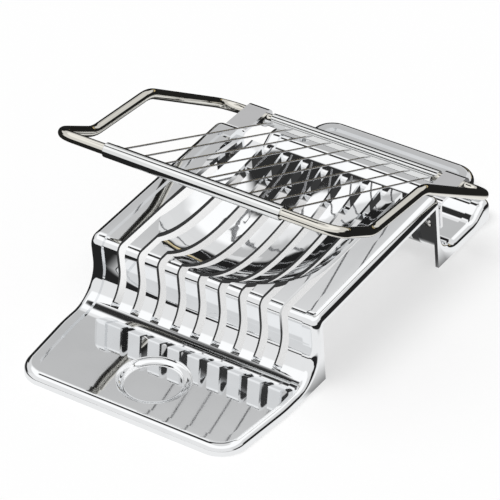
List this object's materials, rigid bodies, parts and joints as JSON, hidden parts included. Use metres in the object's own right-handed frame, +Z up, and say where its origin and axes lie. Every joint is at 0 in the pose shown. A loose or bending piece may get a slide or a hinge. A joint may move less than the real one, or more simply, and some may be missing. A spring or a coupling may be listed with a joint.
{
  "type": "egg slicer",
  "caption": "Chromed egg slicer: pressed steel base with a slotted egg hollow, and a hinged rod harp strung with cutting wires that swings down through the slots.",
  "frame": {"origin": "on the table under the middle of the base", "axes": "+Z up, +Y from the tray at the front towards the foot plate at the rear, +X to the right seen from the tray"},
  "size_m": [0.0896, 0.1444, 0.056],
  "materials": {
    "base_chrome": "polished chrome plate on pressed steel sheet",
    "knuckle_chrome": "polished chrome plate on folded steel strap",
    "rivet_steel": "bright steel rivets, plated",
    "rod_chrome": "polished chrome plate on steel rod",
    "strip_chrome": "polished chrome plate on folded strip",
    "wire_steel": "drawn stainless wire"
  },
  "bodies": {
    "base": {"base_pressing": "base_chrome", "hinge_knuckle_left": "knuckle_chrome", "hinge_knuckle_right": "knuckle_chrome", "knuckle_rivets": "rivet_steel"},
    "harp": {"harp_frame": "rod_chrome", "front_wire_strip": "strip_chrome", "rear_wire_strip": "strip_chrome", "cutting_wire_1": "wire_steel", "cutting_wire_2": "wire_steel", "cutting_wire_3": "wire_steel", "cutting_wire_4": "wire_steel", "cutting_wire_5": "wire_steel", "cutting_wire_6": "wire_steel", "cutting_wire_7": "wire_steel", "cutting_wire_8": "wire_steel", "cutting_wire_9": "wire_steel"}
  },
  "joints": [
    {"name": "harp_hinge", "type": "hinge", "parent": "base", "child": "harp", "pos_m": [0, 0.0448, 0.0187], "axis": [-1, 0, 0], "range_deg": [-32, 85]}
  ]
}
